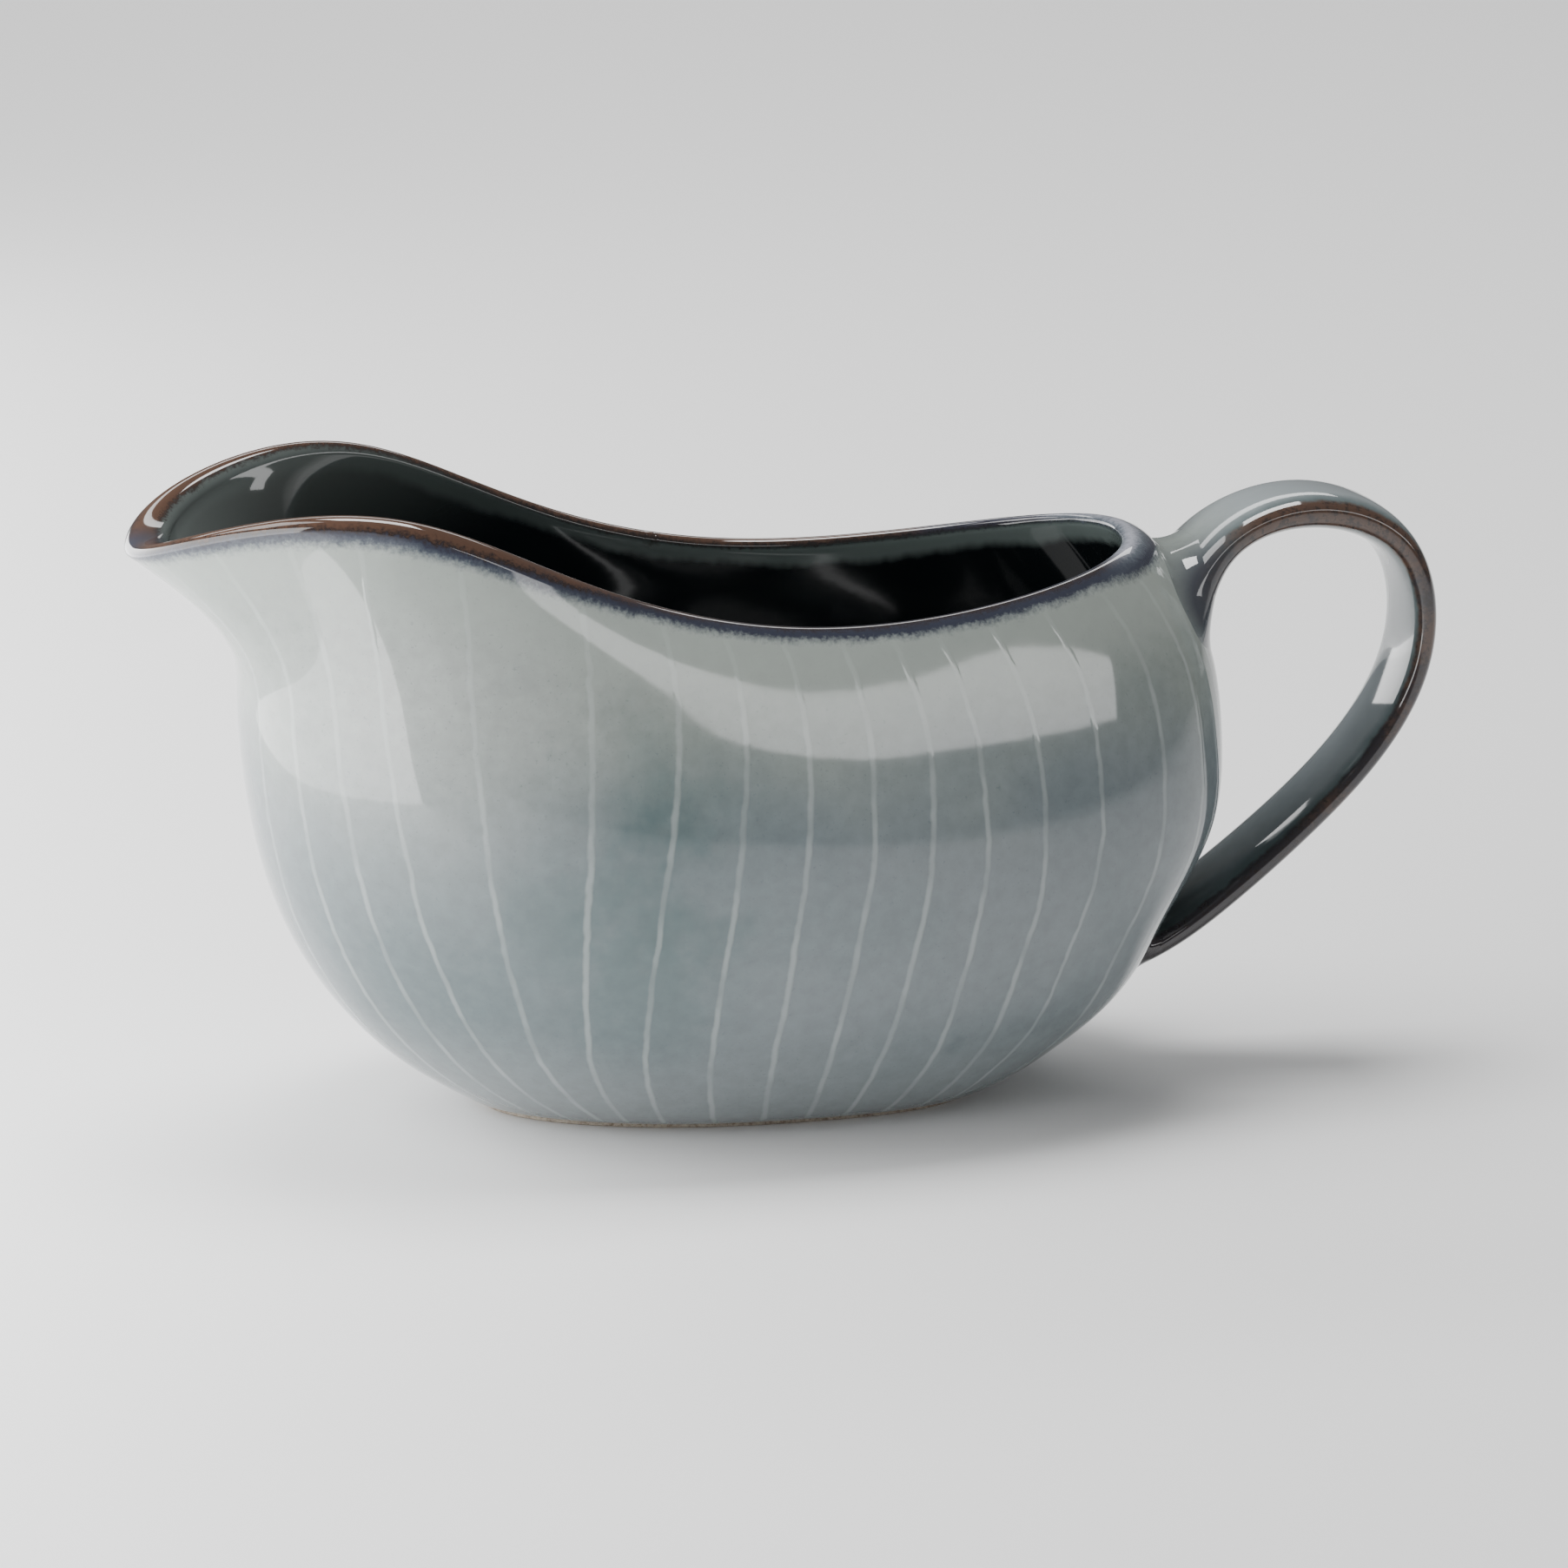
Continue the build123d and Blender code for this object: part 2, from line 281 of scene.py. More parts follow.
def makeBowl():
    # one skin: underside pole, recess, foot edge, outer wall, half-round lip, inner wall,
    # floor corner, floor pole; u is the angle round and every row is a height and an inset
    v = bowlValues
    u = np.linspace(0, 2 * np.pi, v["around"], endpoint=False)
    rim = rimHeight(u)
    foot = v["footHeight"]
    rows = []

    def addRow(z, inset):
        z = np.broadcast_to(z, u.shape).astype(float)
        x, y = bowlPlan(u, z, inset)
        rows.append(np.stack([x, y, z], -1))

    x, y = bowlPlan(u, np.full_like(u, foot), v["footInset"] + v["footWidth"])
    centre = x.mean()
    recessTop = foot + v["recess"]
    for share, z in (*((s, recessTop) for s in np.linspace(0.08, 0.92, 10)), (0.97, recessTop),
                     (0.985, foot + 0.8 * v["recess"]), (0.99, foot + 0.3 * v["recess"]), (1.0, foot)):
        rows.append(np.stack([centre + (x - centre) * share, y * share, np.full_like(u, z)], -1))
    addRow(foot, 2.0)
    for turn in np.radians((0, 30, 60)):  # the glaze ends in a small bead above the bare foot
        addRow(foot + v["glazeBead"] * (1 - math.cos(turn)), v["glazeBead"] * (1 - math.sin(turn)))
    lowest = foot + v["glazeBead"]
    firstOuter = len(rows)
    for share in np.linspace(0, 1, v["outerRows"]) ** 1.08:
        addRow(lowest + share * (rim - lowest), 0.0)
    firstLip = len(rows)
    # the half-round lip leans as the wall does, less and less towards the spout's tip
    forward = (1 - np.cos(u)) / 2
    lean = np.subtract(bowlPlan(u, rim, 0.0), bowlPlan(u, rim - 1.0, 0.0)) * (1 - forward ** 3)
    for turn in np.linspace(0, np.pi, v["lipRows"] + 2)[1:-1]:
        up = v["lipRadius"] * np.sin(turn)
        x, y = np.add(bowlPlan(u, rim, v["lipRadius"] * (1 - np.cos(turn))), lean * up)
        rows.append(np.stack([x, y, rim + up], -1))
    cornerTop = v["floorTop"] + v["floorRadius"]
    for share in np.linspace(1, 0, v["innerRows"]):
        addRow(cornerTop + share * (rim - cornerTop), v["wall"])
    x, y = bowlPlan(u, np.full_like(u, cornerTop), v["wall"])
    middle = x.mean()
    out = np.hypot(x - middle, y)
    for turn in np.linspace(0, np.pi / 2, v["cornerRows"] + 1)[1:]:
        share = 1 - v["floorRadius"] * (1 - np.cos(turn)) / out
        z = np.full_like(u, cornerTop - v["floorRadius"] * np.sin(turn))
        rows.append(np.stack([middle + (x - middle) * share, y * share, z], -1))
    edge = rows[-1]
    for share in np.linspace(1, 0.06, v["floorRows"])[1:]:
        rows.append(np.stack([middle + (edge[:, 0] - middle) * share, edge[:, 1] * share, edge[:, 2]], -1))
    grid = np.array(rows)
    down = np.clip((firstLip - 1 - np.arange(len(rows))) / (firstLip - 1 - firstOuter), 0, 1)
    phase = stripePhase(u, down)
    step = np.roll(grid, -1, 1) - grid
    turned = (np.roll(phase, -1, 1) - phase) % (2 * len(stripeValues["atRim"]))
    spacing = np.linalg.norm(step, axis=2) / turned

    # arc length down each column, counted from the top of the lip: outside positive
    along = np.cumsum(np.linalg.norm(np.diff(grid, axis=0), axis=2), axis=0)
    along = np.vstack([np.zeros((1, len(u))), along])
    crest = firstLip + v["lipRows"] // 2
    fromLip = along[crest] - along
    startPole = [centre, 0, recessTop]
    endPole = [middle, 0, v["floorTop"]]
    piece = surfaceMesh("gravyBowl", grid, {"fromLip": fromLip, "spacing": spacing}, startPole, endPole)
    addRingMap(piece, "stripeMap", phase, 2 * len(stripeValues["atRim"]))
    return piece


footValues = {"rounding": 0.5, "sections": 20, "around": 240}


def makeFootRing():
    # the foot outline at two insets, joined by a section with rounded lower corners
    b, v = bowlValues, footValues
    u = np.linspace(0, 2 * np.pi, v["around"], endpoint=False)
    level = np.full_like(u, b["footHeight"])
    outer, inner = b["footInset"], b["footInset"] + b["footWidth"]
    r = v["rounding"]
    profile = [(outer, b["footHeight"])]
    for turn in np.linspace(0, np.pi / 2, 7):
        profile.append((outer + r * (1 - np.cos(turn)), r * (1 - np.sin(turn))))
    for turn in np.linspace(np.pi / 2, 0, 7):
        profile.append((inner - r * (1 - np.cos(turn)), r * (1 - np.sin(turn))))
    profile.append((inner, b["footHeight"]))
    rows = []
    for inset, z in reversed(profile):
        x, y = bowlPlan(u, level, inset)
        rows.append(np.stack([x, y, np.full_like(u, z)], -1))
    grid = np.array(rows)
    return surfaceMesh("clayFoot", grid, {}, ringClosed=True)


# Handle

handleValues = {
    "path": [(57.6, 67.5), (65.7, 82.9), (80.2, 87.8), (94.4, 81.9), (98.2, 66.3), (91.8, 51.2),
             (80.6, 39.0), (67.9, 28.4), (55.5, 20.4), (46.0, 17.0)],  # centre line, x and z
    "width": [25.0, 19.0, 17.0, 17.0, 17.0, 17.0, 17.0, 17.5, 18.5, 20.0],
    "thickness": [12.0, 6.0, 6.2, 5.4, 4.7, 4.6, 4.7, 5.0, 4.9, 4.4],
    "power": 2.6,
    "along": 220, "around": 72, "sunk": 1.5,
}
pathX, pathZ = np.transpose(handleValues["path"])
pathLength = np.concatenate([[0], np.cumsum(np.hypot(np.diff(pathX), np.diff(pathZ)))])


def strapPoint(distance, turn, swell):
    # a rounded lozenge carried along the centre line: thickness along the line's normal,
    # width across the boat, both swollen by the same amount
    v = handleValues
    x, xSlope = cubicLine(pathLength, pathX, distance)
    z, zSlope = cubicLine(pathLength, pathZ, distance)
    thick = cubicLine(pathLength, v["thickness"], distance)[0] / 2 + swell
    wide = cubicLine(pathLength, v["width"], distance)[0] / 2 + swell
    upUnit, sideUnit = roundedSquare(turn, v["power"])
    scale = np.hypot(xSlope, zSlope)
    return np.stack([x - thick * upUnit * zSlope / scale, wide * sideUnit,
                     z + thick * upUnit * xSlope / scale], -1)


def meetBowl(turn, start, sign):
    # distance along the path at which each stream line of the strap comes out of the bowl,
    # found for all of them at once by halving the interval
    inside = np.full_like(turn, 0.0)
    outside = np.full_like(turn, 34.0)
    for i in range(30):
        middle = (inside + outside) / 2
        out = outsideBowl(strapPoint(start + sign * middle, turn, 0.0)) > 0
        outside = np.where(out, middle, outside)
        inside = np.where(out, inside, middle)
    return start + sign * (inside + outside) / 2


def makeHandle():
    # rows run along the path from wall to wall, columns round the section; each stream line
    # starts and ends a little way inside the bowl's wall
    v = handleValues
    turn = -np.linspace(0, 2 * np.pi, v["around"], endpoint=False)
    first = meetBowl(turn, 0.0, 1) - v["sunk"]
    last = meetBowl(turn, pathLength[-1], -1) + v["sunk"]
    distance = first + np.linspace(0, 1, v["along"])[:, None] * (last - first)
    grid = strapPoint(distance, turn[None, :], 0.0)
    attributes = {"edge": np.abs(np.sin(turn))[None, :], "outward": np.cos(turn)[None, :]}
    return surfaceMesh("strapHandle", grid, attributes, grid[0].mean(0), grid[-1].mean(0))


# Slip fillets

slipValues = {
    # for the outer face, the edges and the inner face: width on the bowl and reach on the strap
    "upper": {"onBowl": (6.5, 4.2, 6.0), "onStrap": (10.0, 6.5, 7.0), "start": 0.0, "sign": 1},
    "lower": {"onBowl": (6.0, 3.6, 3.5), "onStrap": (6.0, 5.0, 4.0), "start": pathLength[-1],
              "sign": -1},
    "around": 120, "rows": 30, "fullness": 0.6,
}


def roundStrap(turn, three):
    # blends three values round the strap: outer face, edges, inner face, by cos^2 of the turn
    outer, edge, inner = three
    c = np.cos(turn)
    return edge + (outer - edge) * np.maximum(c, 0) ** 2 + (inner - edge) * np.minimum(c, 0) ** 2


def makeSlip(name, values):
    # a fillet: for each stream line a Bezier curve leaves the bowl's wall along the wall and
    # joins the strap along the strap, its corner point being where the two surfaces meet
    v = slipValues
    turn = np.linspace(0, 2 * np.pi, v["around"], endpoint=False) * -values["sign"]
    sign = values["sign"]
    meet = meetBowl(turn, values["start"], sign)
    corner = strapPoint(meet, turn, 0.0)
    outward = strapPoint(meet, turn, 1.0) - corner
    aside = ontoBowl(corner + 0.5 * outward, 0.0) - corner
    aside = aside / np.linalg.norm(aside, axis=-1, keepdims=True)
    edge = corner + aside * roundStrap(turn, values["onBowl"])[:, None]
    edge[:, 2] = np.minimum(edge[:, 2], rimHeight(0.0) - 0.3)
    onBowl = ontoBowl(edge, -0.04)
    onStrap = strapPoint(meet + sign * roundStrap(turn, values["onStrap"]), turn, -0.03)
    first = onBowl + (corner - onBowl) * v["fullness"]
    second = onStrap + (corner - onStrap) * v["fullness"]
    s = np.linspace(0, 1, v["rows"])[:, None, None]
    curve = ((1 - s) ** 3 * onBowl + 3 * (1 - s) ** 2 * s * first
             + 3 * (1 - s) * s ** 2 * second + s ** 3 * onStrap)
    # two rows inside the strap close the skin
    inner = strapPoint(np.array([meet + sign * 2.0, meet - sign * 1.0]), turn[None, :], -1.0)
    attributes = {"edge": np.abs(np.sin(turn))[None, :], "outward": np.cos(turn)[None, :]}
    return surfaceMesh(name, np.concatenate([curve, inner]), attributes, ringClosed=True)


# Shader maths

def addNode(tree, kind, settings=None, inputs=None, output=0):
    # one node: its settings are set first, then the values or links of its sockets by name
    node = tree.nodes.new(kind)
    for key, value in (settings or {}).items():
        if key == "stops":
            ramp = node.color_ramp
            while len(ramp.elements) < len(value):
                ramp.elements.new(0.5)
            for element, (place, colour) in zip(ramp.elements, value):
                element.position = place
                element.color = (*colour, 1) if len(colour) == 3 else colour
        else:
            setattr(node, key, value)
    for key, value in (inputs or {}).items():
        socket = node.inputs[key]
        if isinstance(value, Wire):
            tree.links.new(value.socket, socket)
        else:
            socket.default_value = value
    return Wire(tree, node.outputs[output])


class Wire:
    # one output socket; arithmetic on it adds Math nodes to its tree
    def __init__(self, tree, socket):
        self.tree = tree
        self.socket = socket

    def math(self, operation, *values, clamp=False):
        inputs = {i: value for i, value in enumerate(values)}
        return addNode(self.tree, "ShaderNodeMath", {"operation": operation, "use_clamp": clamp}, inputs)

    def __add__(self, other): return self.math("ADD", self, other)
    def __radd__(self, other): return self.math("ADD", other, self)
    def __sub__(self, other): return self.math("SUBTRACT", self, other)
    def __rsub__(self, other): return self.math("SUBTRACT", other, self)
    def __mul__(self, other): return self.math("MULTIPLY", self, other)
    def __rmul__(self, other): return self.math("MULTIPLY", other, self)
    def __truediv__(self, other): return self.math("DIVIDE", self, other)
    def __rtruediv__(self, other): return self.math("DIVIDE", other, self)
    def __pow__(self, other): return self.math("POWER", self, other)
    def absolute(self): return self.math("ABSOLUTE", self)
    def fraction(self): return self.math("FRACT", self)
    def clamped(self): return self.math("ADD", self, 0.0, clamp=True)


class Paint:
    # a material being mixed: its tree, its glossy shader and short names for common nodes
    def __init__(self, name):
        self.material = bpy.data.materials.new(name)
        self.material.use_nodes = True
        self.tree = self.material.node_tree
        self.shader = self.tree.nodes["Principled BSDF"]

    def node(self, kind, settings=None, inputs=None, output=0):
        return addNode(self.tree, kind, settings, inputs, output)

    def place(self):
        return self.node("ShaderNodeTexCoord", output="Object")

    def axes(self, vector):
        split = self.tree.nodes.new("ShaderNodeSeparateXYZ")
        self.tree.links.new(vector.socket, split.inputs[0])
        return [Wire(self.tree, socket) for socket in split.outputs]

    def attribute(self, name):
        return self.node("ShaderNodeAttribute", {"attribute_name": name}, output="Fac")

    def noise(self, vector, scale, detail=2.0, roughness=0.5):
        inputs = {"Vector": vector, "Scale": scale, "Detail": detail, "Roughness": roughness}
        return self.node("ShaderNodeTexNoise", {"noise_dimensions": "3D"}, inputs, "Fac")

    def stretched(self, vector, factors):
        return self.node("ShaderNodeVectorMath", {"operation": "MULTIPLY"}, {0: vector, 1: factors})

    def step(self, value, low, high):
        # smooth step from 0 at low to 1 at high
        return self.node("ShaderNodeMapRange", {"interpolation_type": "SMOOTHSTEP"},
                         {"Value": value, "From Min": low, "From Max": high}, "Result")

    def bands(self, value, stops):
        # colour ramp whose stops are given in the value's own unit
        low, high = stops[0][0], stops[-1][0]
        inputs = {"Value": value, "From Min": low, "From Max": high}
        share = self.node("ShaderNodeMapRange", None, inputs, "Result")
        places = [((at - low) / (high - low), colour) for at, colour in stops]
        return self.node("ShaderNodeValToRGB", {"stops": places}, {"Fac": share}, "Color")

    def spot(self, vector, centre, radius):
        # round patch: 1 at the centre, fading smoothly to 0 at the radius
        away = self.node("ShaderNodeVectorMath", {"operation": "DISTANCE"}, {0: vector, 1: centre}, "Value")
        return 1 - self.step(away, 0.0, radius)

    def mix(self, share, first, second, blend="MIX"):
        node = self.tree.nodes.new("ShaderNodeMix")
        node.data_type = "RGBA"
        node.blend_type = blend
        for socket, value in zip((node.inputs[0], node.inputs[6], node.inputs[7]), (share, first, second)):
            if isinstance(value, Wire):
                self.tree.links.new(value.socket, socket)
            else:
                socket.default_value = value if isinstance(value, (int, float)) else (*value, 1)
        return Wire(self.tree, node.outputs[2])

    def bump(self, height, distance, strength=1.0):
        return self.node("ShaderNodeBump", None,
                         {"Height": height, "Distance": distance, "Strength": strength}, "Normal")

    def feed(self, **links):
        for key, value in links.items():
            socket = self.shader.inputs[key.replace("_", " ")]
            if isinstance(value, Wire):
                self.tree.links.new(value.socket, socket)
            else:
                socket.default_value = value


# Glazes

glazeValues = {
    # patch is the colour of the painted highlight beside the spout
    "upper": (0.236, 0.266, 0.246), "lower": (0.156, 0.184, 0.196), "cloud": (0.068, 0.110, 0.114),
    "foot": (0.205, 0.232, 0.240), "patch": (0.41, 0.43, 0.42), "shoulder": (0.36, 0.395, 0.365),
    "stripe": (0.44, 0.48, 0.47), "speck": (0.08, 0.11, 0.12), "teal": (0.050, 0.085, 0.090),
    "rust": (0.078, 0.042, 0.028), "brown": (0.024, 0.016, 0.014), "violet": (0.030, 0.034, 0.052),
    # the pale slate is partly a painted highlight on the heel's lip
    "slate": (0.105, 0.122, 0.142), "paleSlateAndSheen": (0.36, 0.37, 0.42), "spout": (0.086, 0.099, 0.094),
    # the spout colour above is the dark inside glaze made lighter as painted light
    "inner": (0.0055, 0.0078, 0.0090), "drip": (0.17, 0.21, 0.20), "roughness": 0.055, "ior": 1.65,
    "stripeWidth": 0.42,  # half width of a pale line, in mm
}
patchValues = {
    # round patches: centre and radius, in metres; the pale one is a painted highlight, the one low on the
    # spout's side and the one at the root are painted shade, the rest are marks in the glaze
    "teal": ((-0.028, -0.041, 0.042), 0.034), "pale": ((-0.060, -0.034, 0.070), 0.042),
    "lowSideShade": ((-0.062, -0.036, 0.026), 0.050),
    "smear": ((0.0169, -0.0347, 0.0064), 0.0024),  # drawn out upwards, so its z is 0.4 of the real one
    "tip": ((-0.0995, 0.0, 0.0885), 0.0085), "pit": ((-0.0160, 0.0310, 0.0805), 0.0024),
    "root": ((0.0650, 0.0105, 0.0765), 0.0145),  # painted shade where the strap meets the bowl, on both sides of the boat
}


def bodyGlaze(paint):
    # the outside colour that bowl, fillets and handle share: green-grey above and blue-grey below,
    # dark teal clouds, a painted highlight beside the spout, painted shade low on that side, and fine
    # specks
    g = glazeValues
    place = paint.place()
    z = paint.axes(place)[2]
    cloud = paint.noise(place, 26, 3, 0.55)
    tone = paint.step(z * 1000 + (cloud - 0.5) * 40, 44.0, 74.0)
    colour = paint.mix(tone, g["lower"], g["upper"])
    patch = paint.step(paint.noise(place, 42, 4, 0.6), 0.46, 0.68)
    centre = paint.spot(place, *patchValues["teal"])
    # painted highlight: a pale patch beside the spout, where the left light falls
    pale = paint.spot(place, *patchValues["pale"])
    colour = paint.mix(pale * 0.55, colour, g["patch"])
    # painted shade: the cloud colour laid low down on the near side by the spout, where less light falls
    lowSideShade = paint.spot(place, *patchValues["lowSideShade"])
    colour = paint.mix(lowSideShade * 0.45, colour, g["cloud"])
    colour = paint.mix(patch * (0.18 + 0.5 * centre) + centre * 0.34, colour, g["cloud"])
    nearFoot = 1 - paint.step(z * 1000 + (cloud - 0.5) * 14, 4.0, 24.0)
    colour = paint.mix(nearFoot * 0.8, colour, g["foot"])
    smear = paint.spot(paint.stretched(place, (1, 1, 0.4)), *patchValues["smear"])
    colour = paint.mix(smear * patch, colour, g["teal"])
    specks = paint.step(paint.noise(place, 1900, 2, 0.6), 0.62, 0.74)
    mottle = paint.noise(place, 420, 3, 0.6)
    colour = paint.mix(specks * 0.3, colour, g["speck"])
    shade = paint.bands(mottle, [(0.3, (0.92, 0.92, 0.92)), (0.7, (1.07, 1.07, 1.07))])
    return paint.mix(1.0, colour, shade, "MULTIPLY")


def ripple(paint, place):
    # the slow unevenness of thick glaze
    return paint.noise(place, 40, 1, 0.4) * 0.30 + paint.noise(place, 230, 2, 0.5) * 0.013


def makeBowlGlaze():
    g = glazeValues
    paint = Paint("reactiveGlaze")
    place = paint.place()
    x, y = paint.axes(place)[:2]
    fromLip = paint.attribute("fromLip")
    colour = bodyGlaze(paint)

    # pale lines where the glaze ran into scratches of the mould
    around = paint.axes(paint.node("ShaderNodeUVMap", {"uv_map": "stripeMap"}, output="UV"))[0]
    sway = (paint.noise(place, 95, 2, 0.5) - 0.5) * 0.12 + (paint.noise(place, 420, 1) - 0.5) * 0.045
    offLine = ((around + sway).fraction() - 0.5).absolute() * paint.attribute("spacing")
    strength = paint.step(paint.noise(place, 110, 2, 0.6), 0.25, 0.65) * 0.24 + 0.15
    line = 1 - paint.step(offLine, g["stripeWidth"] * 0.35, g["stripeWidth"] * 1.5)
    line = line * paint.step(fromLip, 3.0, 6.5)
    colour = paint.mix(line * strength, colour, g["stripe"])

    # paler glaze on the shoulder below the lip
    shoulder = paint.step(fromLip + (paint.noise(place, 55, 2) - 0.5) * 9, 22.0, 7.0)
    colour = paint.mix(shoulder * 0.6, colour, g["shoulder"])

    # bands over the lip, their edges broken up by noise: rust towards the spout and along the
    # far side, violet along the near side, pale slate round the heel whose crest is partly a painted
    # highlight; they widen at the spout
    edge = fromLip + (paint.noise(place, 210, 4, 0.65) - 0.5) * 1.5
    edge = edge + (paint.noise(place, 1500, 2, 0.7) - 0.5) * 2.0
    edge = edge - paint.step(x * -1000, 25.0, 65.0) * paint.step(fromLip, 0.0, 3.0) * 1.1
    warm = paint.step(y * 1000 - x * 1000 + (paint.noise(place, 60, 2) - 0.5) * 90, -22.0, 22.0)
    heel = paint.step(x * 1000 + (paint.noise(place, 80, 2) - 0.5) * 16, 40.0, 50.0)
    rusty = paint.bands(edge, [(-3.0, g["brown"]), (-1.6, g["brown"]), (-0.6, g["rust"]), (1.2, g["rust"]),
                               (1.9, g["brown"]), (2.7, g["violet"]), (4.6, g["slate"])])
    cool = paint.bands(edge, [(-3.0, g["brown"]), (-0.5, g["violet"]), (0.6, g["brown"]),
                              (2.2, g["violet"]), (2.9, g["violet"]), (4.6, g["slate"])])
    # the heel's lip: pale slate glaze, made paler at the crest as a painted highlight
    pale = paint.bands(edge, [(-3.0, g["violet"]), (-1.2, g["slate"]), (0.4, g["paleSlateAndSheen"]),
                              (2.0, g["slate"]), (3.6, g["violet"]), (5.0, g["violet"]), (6.4, g["slate"])])
    band = paint.mix(heel, paint.mix(warm, cool, rusty), pale)
    lipMask = 1 - paint.step(edge - heel * 1.8 - warm * 0.7, 2.6, 4.8)

    # dark inside, made lighter towards the open spout and near the lip as painted light, with a pale
    # curtain of glaze that ran down from the lip
    depth = 0 - fromLip
    run = paint.noise(paint.stretched(place, (1, 1, 0.3)), 110, 3, 0.6)
    curtain = (1 - paint.step(depth + (run - 0.5) * 4.5, 4.2, 6.6)) * paint.step(depth, 1.6, 2.6)
    heelward = x * 1000 + y * 400 + (paint.noise(place, 30) - 0.5) * 30
    strongest = paint.step(heelward, -60.0, 40.0) * 0.8 + 0.12
    # painted light and shade: the inside is lighter towards the spout and near the lip, darker deeper down
    dark = paint.mix(paint.step(x * -1000 - depth * 0.8, 30.0, 78.0), g["inner"], g["spout"])
    inside = paint.mix(curtain * strongest, dark, g["drip"])
    colour = paint.mix(lipMask, colour, band)
    colour = paint.mix(paint.step(edge * -1, 1.2, 2.4), colour, inside)
    tip = paint.spot(place, *patchValues["tip"])
    colour = paint.mix(tip, colour, g["violet"])
    pit = paint.spot(place, *patchValues["pit"]) * paint.step(paint.noise(place, 700, 2), 0.40, 0.62)
    colour = paint.mix(pit, colour, g["brown"])
    height = ripple(paint, place) + line * 0.03 - pit * 0.15
    paint.feed(Base_Color=colour, Roughness=g["roughness"], IOR=g["ior"], Normal=paint.bump(height, 0.0004))
    return paint.material


handleGlazeValues = {
    "paleLow": (0.125, 0.148, 0.160), "paleHigh": (0.245, 0.275, 0.288), "loop": (0.050, 0.064, 0.070),
    # root is a painted shade where the strap meets the bowl
    "deep": (0.024, 0.034, 0.032), "root": (0.036, 0.038, 0.056), "border": (0.024, 0.019, 0.023),
    "fringe": (0.050, 0.075, 0.076),
}


def makeHandleGlaze(name):
    # the body's glaze made paler and bluer on the outer face, dark inside the loop near the
    # lower root, darkened as painted shade where the strap meets the bowl at the upper root, and
    # broken to rust and brown along both edges
    g, h = glazeValues, handleGlazeValues
    paint = Paint(name)
    place = paint.place()
    x, z = paint.axes(place)[::2]
    colour = bodyGlaze(paint)
    away = paint.step(x * 1000, 58.0, 72.0)
    outward, edge = paint.attribute("outward"), paint.attribute("edge")
    cloud = paint.noise(place, 70, 3, 0.6)
    high = paint.step(z * 1000 + (cloud - 0.5) * 40, 20.0, 88.0)
    pale = paint.mix(high, h["paleLow"], h["paleHigh"])
    colour = paint.mix(away * 0.9, colour, pale)
    low = 1 - paint.step(z * 1000 + (cloud - 0.5) * 18, 18.0, 48.0)
    low = low * (1 - paint.step(outward, -0.25, 0.25))
    colour = paint.mix(low * 0.9, colour, h["deep"])
    loop = (1 - paint.step(outward, -0.6, 0.1)) * away
    colour = paint.mix(loop * 0.25, colour, h["loop"])
    eitherSide = paint.node("ShaderNodeVectorMath", {"operation": "ABSOLUTE"}, {0: place})
    # painted shade where the strap joins the bowl at the upper root
    root = paint.spot(eitherSide, *patchValues["root"])
    colour = paint.mix((root * 1.5).clamped() * 0.9, colour, h["root"])
    broken = edge + (paint.noise(place, 260, 4, 0.65) - 0.5) * 0.20
    smudge = paint.step(paint.noise(place, 105, 4, 0.7) + (z - 0.068) * 5, 0.40, 0.62)
    border = paint.mix(smudge, h["border"], g["rust"])
    border = paint.mix(paint.step(paint.noise(place, 1000, 3, 0.7), 0.50, 0.62) * 0.8, border, g["brown"])
    under = paint.step(outward, -0.1, 0.5) * (1 - paint.step(z * 1000, 24.0, 44.0))
    border = paint.mix(under * 0.6, border, g["brown"])
    offBody = (away + (1 - paint.step(z * 1000, 34.0, 46.0))).clamped()
    mask = paint.step(broken, 0.76, 0.86) * offBody
    fringe = paint.step(broken, 0.52, 0.80) * away
    colour = paint.mix(fringe * 0.72, colour, h["fringe"])
    colour = paint.mix(mask * 0.94, colour, border)
    paint.feed(Base_Color=colour, Roughness=g["roughness"], IOR=g["ior"],
               Normal=paint.bump(ripple(paint, place), 0.0004))
    return paint.material


clayValues = {
    "dark": (0.20, 0.16, 0.12), "middle": (0.36, 0.31, 0.25), "pale": (0.46, 0.41, 0.34),
    "grit": 1400, "gritHeight": 0.0003, "roughness": 0.85,
}


def makeClay():
    # bare fired clay: matt, with darker and paler grit
    v = clayValues
    paint = Paint("bareClay")
    grit = paint.noise(paint.place(), v["grit"], 3, 0.7)
    colour = paint.bands(grit, [(0.35, v["dark"]), (0.5, v["middle"]), (0.68, v["pale"])])
    paint.feed(Base_Color=colour, Roughness=v["roughness"], Normal=paint.bump(grit, v["gritHeight"]))
    return paint.material


bowlPiece = makeBowl()
footPiece = makeFootRing()
handlePiece = makeHandle()
upperSlip = makeSlip("upperSlipFillet", slipValues["upper"])
lowerSlip = makeSlip("lowerSlipFillet", slipValues["lower"])
print("stage 2: surfaces made")

